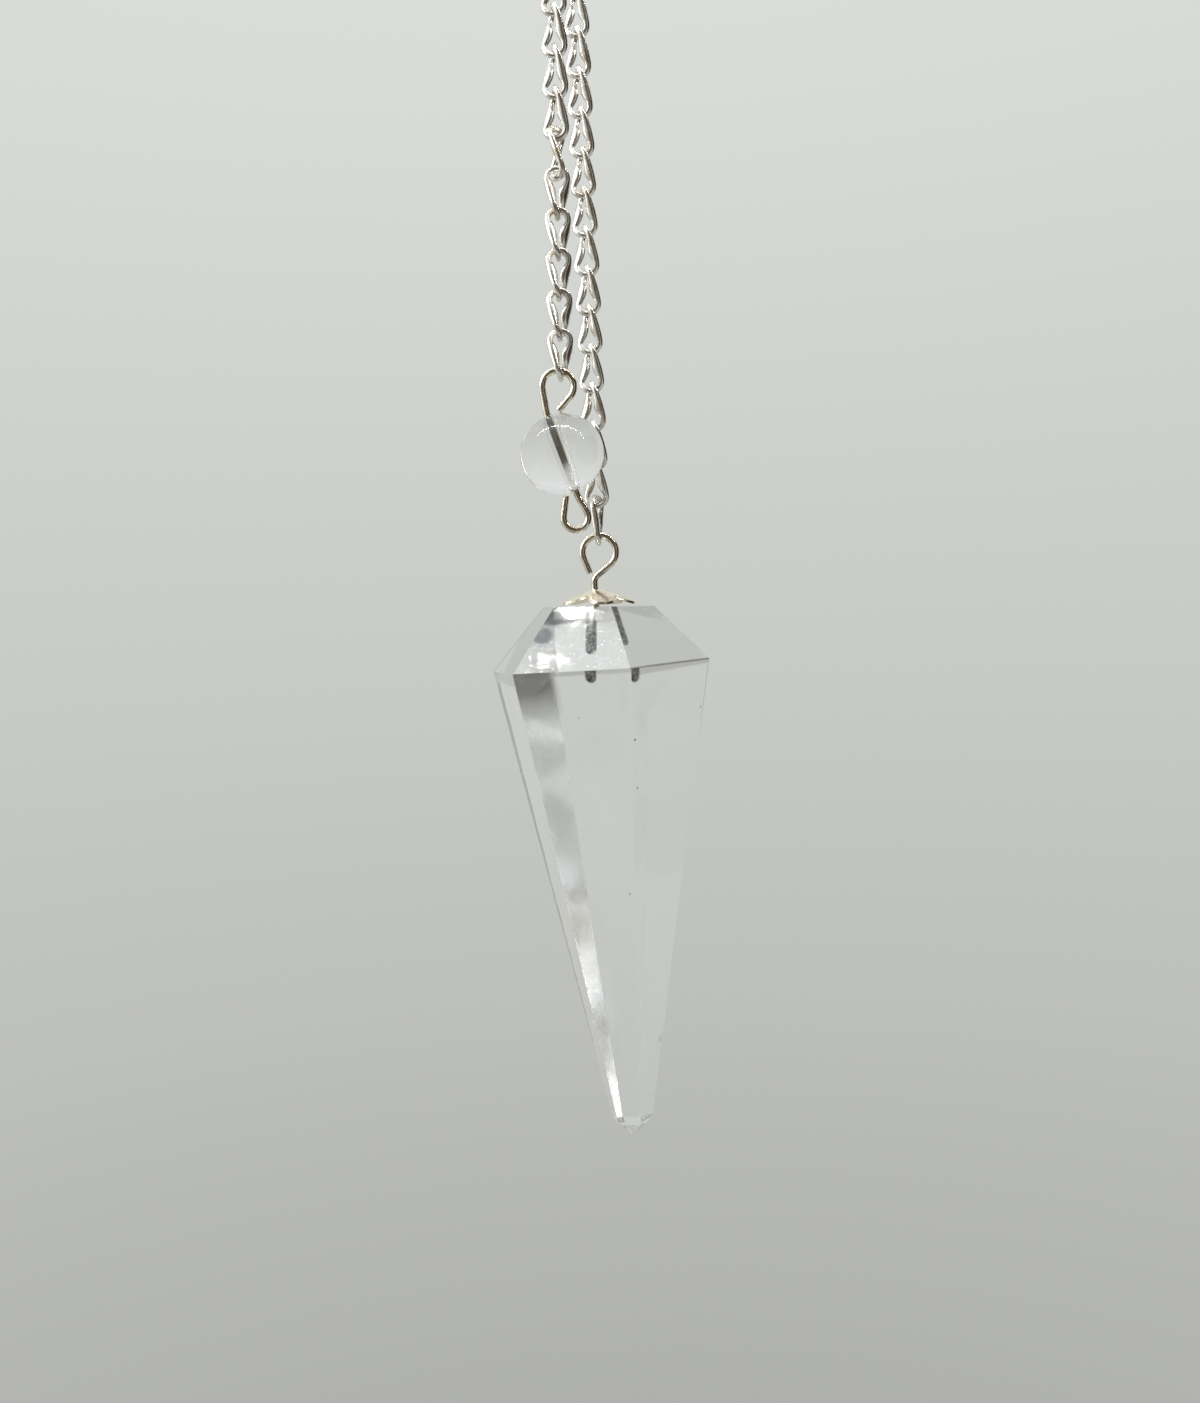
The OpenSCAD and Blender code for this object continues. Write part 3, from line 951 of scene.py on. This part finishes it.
# the eye stands to one side of the table's middle, so that the leaning crystal hangs in balance
eyeOff = (eyeSize["rise"] + balanceDepth(crystalSize)) * math.tan(math.radians(crystalSize["lean"]))
dropPlace = (Matrix.Translation(jointAt["drop_swing"]) @ turned(-crystalSize["lean"], "Y")
             @ Matrix.Translation((-eyeOff, 0, -eyeSize["rise"])))
cornerWays = [Vector((math.cos(math.radians(turn)), math.sin(math.radians(turn)), 0))
              for turn in crystalSize["corners"]]
ringZ = {"table": 0, "girdle": -crystalSize["crown"], "shoulder": -crystalSize["crown"] - crystalSize["body"]}


def ringPoint(ring, number):
    # a corner of the table, the girdle or the shoulder
    return cornerWays[number % len(cornerWays)] * crystalSize[ring] + Vector((0, 0, ringZ[ring]))


def makeDrill(radius, deep, sides):
    # the hole's shape: a cylinder from above the table, closed by the blunt point of a worn drill
    freeHands()
    above = 2 * mm
    bpy.ops.mesh.primitive_cylinder_add(vertices=sides, radius=radius, depth=deep - radius + above,
                                        location=(0, 0, (above - deep + radius) / 2))
    drill = bpy.context.object
    bpy.ops.object.transform_apply(location=True)
    openEdit()
    pick("faces", lambda face: face.normal.z < -0.9)
    down, wide = 0, 1
    for nextDown, nextWide in crystalSize["drillPoint"]:
        extrude((0, 0, radius * (down - nextDown)))
        widen(nextWide / wide)
        down, wide = nextDown, nextWide
    facesOut()
    closeEdit()
    return drill


def facetCuts():
    # a point on each facet and the way that it faces: the table, then the crown, the body and the tip
    size = crystalSize
    cuts = [(Vector((0, 0, 0)), Vector((math.tan(math.radians(size["tableTilt"])), 0, 1)))]
    crownTop = size["crown"] * size["table"] / (size["girdle"] - size["table"])
    tipEnd = ringZ["shoulder"] - size["tip"]
    for ring, peak in (("girdle", crownTop), ("girdle", None), ("shoulder", tipEnd)):
        for number in range(len(cornerWays)):
            first = ringPoint(ring, number)
            third = ringPoint("shoulder", number) if peak is None else Vector((0, 0, peak))
            normal = (ringPoint(ring, number + 1) - first).cross(third - first).normalized()
            outward = cornerWays[number] + cornerWays[(number + 1) % len(cornerWays)]
            cuts.append((first, normal if normal.dot(outward) > 0 else -normal))
    return cuts


def quartzPlaces(cuts):
    # what crystalQuartz asks for: the dusty facet of the crown, the three ways of the body's facet
    # below it (out, in from its edge, down), the specks, the smudges and the dark edges
    size = crystalSize
    dusty = size["dustyFacet"]
    crownPoint, crownNormal = cuts[1 + dusty]
    bodyPoint, bodyNormal = cuts[1 + len(cornerWays) + dusty]
    edge, nextEdge = cornerWays[dusty], cornerWays[dusty + 1]
    down = (edge * (size["shoulder"] - size["girdle"]) + Vector((0, 0, -size["body"]))).normalized()
    inward = down.cross(bodyNormal)
    if inward.dot(nextEdge - edge) < 0:
        inward = -inward
    body = [(way, bodyPoint.dot(way) / mm) for way in (bodyNormal, inward, down)]
    specksAt = []
    for facet, across, lower, radius, dark in size["specks"]:
        nextWay = cornerWays[(facet + 1) % len(cornerWays)]
        ring = size["girdle"] + lower * (size["shoulder"] - size["girdle"])
        flat = cornerWays[facet].lerp(nextWay, across) * ring
        at = flat + Vector((0, 0, ringZ["girdle"] - lower * size["body"]))
        specksAt.append((at / mm, radius, dark))
    beside = (nextEdge - edge).normalized() * size["smudgeIn"] * mm
    smudgesAt = [(ringPoint("table", dusty).lerp(ringPoint("girdle", dusty), share) + beside) / mm
                 for share in size["smudges"]]
    darkEdges = [(ringPoint(ring, number) / mm, ringPoint(toRing, toNumber) / mm, reach, wide)
                 for ring, number, toRing, toNumber, reach, wide in size["darkEdges"]]
    return (crownNormal, crownPoint.dot(crownNormal) / mm), body, specksAt, smudgesAt, darkEdges


def makeCrystal():
    size = crystalSize
    cuts = facetCuts()
    # a round blank, cut facet by facet
    freeHands()
    spare = 1 * mm
    tall = size["crown"] + size["body"] + size["tip"] + 2 * spare
    bpy.ops.mesh.primitive_cylinder_add(vertices=size["blankSides"], radius=size["girdle"] + spare,
                                        depth=tall, location=(0, 0, spare - tall / 2))
    crystal = bpy.context.object
    bpy.ops.object.transform_apply(location=True)
    openEdit()
    for point, normal in cuts:
        takeAll()
        bpy.ops.mesh.bisect(plane_co=point, plane_no=normal, use_fill=True, clear_outer=True, threshold=1e-7)
    weld(0.0005 * mm)
    bpy.ops.mesh.dissolve_limited(angle_limit=math.radians(0.05))
    facesOut()
    # the tip stays sharp
    pick("edges", lambda edge: max(vert.co.z for vert in edge.verts) > ringZ["shoulder"] + spare)
    bpy.ops.mesh.bevel(offset=size["edge"], segments=1, affect="EDGES")
    closeEdit()
    print("facets and edges:", len(crystal.data.polygons), "faces")
    drill = makeDrill(size["hole"] / 2, size["deep"], size["holeSides"])
    applyModifier(crystal, "BOOLEAN", operation="DIFFERENCE", solver="EXACT", object=drill)
    bpy.data.objects.remove(drill)
    put(crystal, "cut_crystal", dropPlace)
    crystal.data.materials.append(crystalQuartz(*quartzPlaces(cuts)))
    finish(crystal, "drop", "crystal")


def makeCement():
    # it wets the hole's wall, so the crystal's glass ends in it with no air between, and ends a
    # little below the table
    size = cementSize
    cement = makeDrill(crystalSize["hole"] / 2 + size["soak"], crystalSize["deep"] + size["soak"],
                       size["sides"])
    openEdit()
    takeAll()
    bpy.ops.mesh.bisect(plane_co=(0, 0, -size["below"]), plane_no=(0, 0, 1), use_fill=True,
                        clear_outer=True)
    facesOut()
    closeEdit()
    freeHands()
    bpy.ops.mesh.primitive_cylinder_add(vertices=size["sides"], radius=eyeSize["wire"] / 2 + size["play"],
                                        depth=2 * (eyeSize["deep"] + size["play"]))
    bore = bpy.context.object
    applyModifier(cement, "BOOLEAN", operation="DIFFERENCE", solver="EXACT", object=bore)
    bpy.data.objects.remove(bore)
    put(cement, "hole_cement", dropPlace)
    smooth(cement, 40)
    cement.data.materials.append(darkCement())
    finish(cement, "drop", "cement")


def makeEye():
    size = eyeSize
    corner = Vector((0, 0, size["bendAt"]))
    # the drop's joint is the middle of the link's wire, which lies under the loop's top
    below = size["radius"] - size["wire"] / 2 - size["linkGap"] - linkSize["wire"] / 2
    middle = Vector((eyeOff, 0, size["rise"] - below))
    wrap = size["wrapTo"] - touch(corner, middle, size["radius"], 1)
    loop = bentLoop(corner, 90, middle, size["radius"], 1, wrap, size["tail"], size["bend"])
    stem = [(0, size["deep"] + size["bendAt"] - size["bend"])]
    eye = bendWire(size["wire"], size["sides"], Vector((0, 0, -size["deep"])), 90, stem + loop)
    roundCuts(size["cut"])
    closeEdit()
    put(eye, "wire_eye", dropPlace)
    smooth(eye, 40)
    eye.data.materials.append(wirePlate("eye_wire", dropPlace))
    finish(eye, "drop", "eye_peg")


# Petal cap: a flat ring, scalloped into petals and raised into a shallow bowed cone
capSize = {
    "petals": 5,
    "wide": 7.5 * mm,
    "notch": 4.5 * mm,
    "high": 1.55 * mm,
    "thick": 0.25 * mm,
    "hole": 1.5 * mm,
    "shift": 0.3 * mm,
    "gap": 0.1 * mm,
    "frontPetal": -82,
    "roundness": 0.75,
    "bow": 1.25,
    "crease": 0.05 * mm,
    "lip": 0.07 * mm,
    "edge": 0.07 * mm,
    "columns": 16,
    "rows": [0.15, 0.3, 0.45, 0.6, 0.74, 0.86, 0.95, 1],
}


def makeCap():
    size = capSize
    hole, rim = size["hole"] / 2, size["wide"] / 2
    freeHands()
    bpy.ops.mesh.primitive_circle_add(vertices=size["petals"] * size["columns"], radius=hole,
                                      fill_type="NOTHING")
    cap = bpy.context.object
    openEdit()
    takeAll()
    reached = hole
    for share in size["rows"]:
        wide = hole + share * (rim - hole)
        extrude((0, 0, 0))
        widen(wide / reached)
        reached = wide

    def reach(column, off):
        # how far the rim stands out: fully in a petal's middle, and least in the notch
        if column == size["columns"] / 2:
            return size["notch"] / 2
        swell = math.cos(off * size["petals"] / 2) ** size["roundness"]
        return (size["notch"] + (size["wide"] - size["notch"]) * swell) / 2

    def height(radius, share, toNotch):
        # bowed, creased between the petals, with a lip turned up at the rim
        crease = size["crease"] * share * (1 - share) * 4 * toNotch ** 2
        lip = size["lip"] if share == 1 else 0
        return size["high"] * (1 - (radius / rim) ** size["bow"]) - crease + lip

    # columns at the same angle from a petal's middle are drawn in and raised together
    petalTurn = math.tau / size["petals"]
    for column in range(size["columns"] // 2 + 1):
        off = petalTurn * column / size["columns"]
        for share in [0] + size["rows"]:
            before = hole + share * (rim - hole)
            now = hole + share * (reach(column, off) - hole)

            def onPlace(vert):
                turn = math.atan2(vert.co.x, vert.co.y) % petalTurn
                away = min(turn, petalTurn - turn)
                flat = vert.co.z == 0
                return flat and abs(away - off) < 0.01 and abs(vert.co.xy.length - before) < 0.001 * mm

            pick("verts", onPlace)
            widen(now / before)
            bpy.ops.transform.translate(value=(0, 0, height(now, share, 2 * column / size["columns"])))
    facesOut()
    closeEdit()
    # the sheet thickens upwards
    offset = -1 if cap.data.polygons[0].normal.z < 0 else 1
    applyModifier(cap, "SOLIDIFY", thickness=size["thick"], offset=offset)
    applyModifier(cap, "BEVEL", width=size["edge"], segments=2, limit_method="ANGLE",
                  angle_limit=math.radians(50))
    applyModifier(cap, "SUBSURF", levels=1, render_levels=1)
    tilt = math.radians(crystalSize["tableTilt"])
    put(cap, "petal_cap", dropPlace @ turned(crystalSize["tableTilt"], "Y")
        @ Matrix.Translation((size["shift"] - size["high"] * math.tan(tilt), 0, size["gap"]))
        @ turned(size["frontPetal"] - 90, "Z"))
    smooth(cap, 50)
    cap.data.materials.append(champagnePlate())
    finish(cap, "drop", "bead_cap")


print("crystal and cement")
makeCrystal()
makeCement()
print("eye and cap")
makeEye()
makeCap()

# the two windows light everything but the bead, which would mirror them
unlit = bpy.data.collections.new("no_window_light")
unlit.objects.link(bpy.data.objects["round_bead"])
unlit.collection_objects[0].light_linking.link_state = "EXCLUDE"
for name in ("left_window", "chain_window"):
    bpy.data.objects[name].light_linking.receiver_collection = unlit
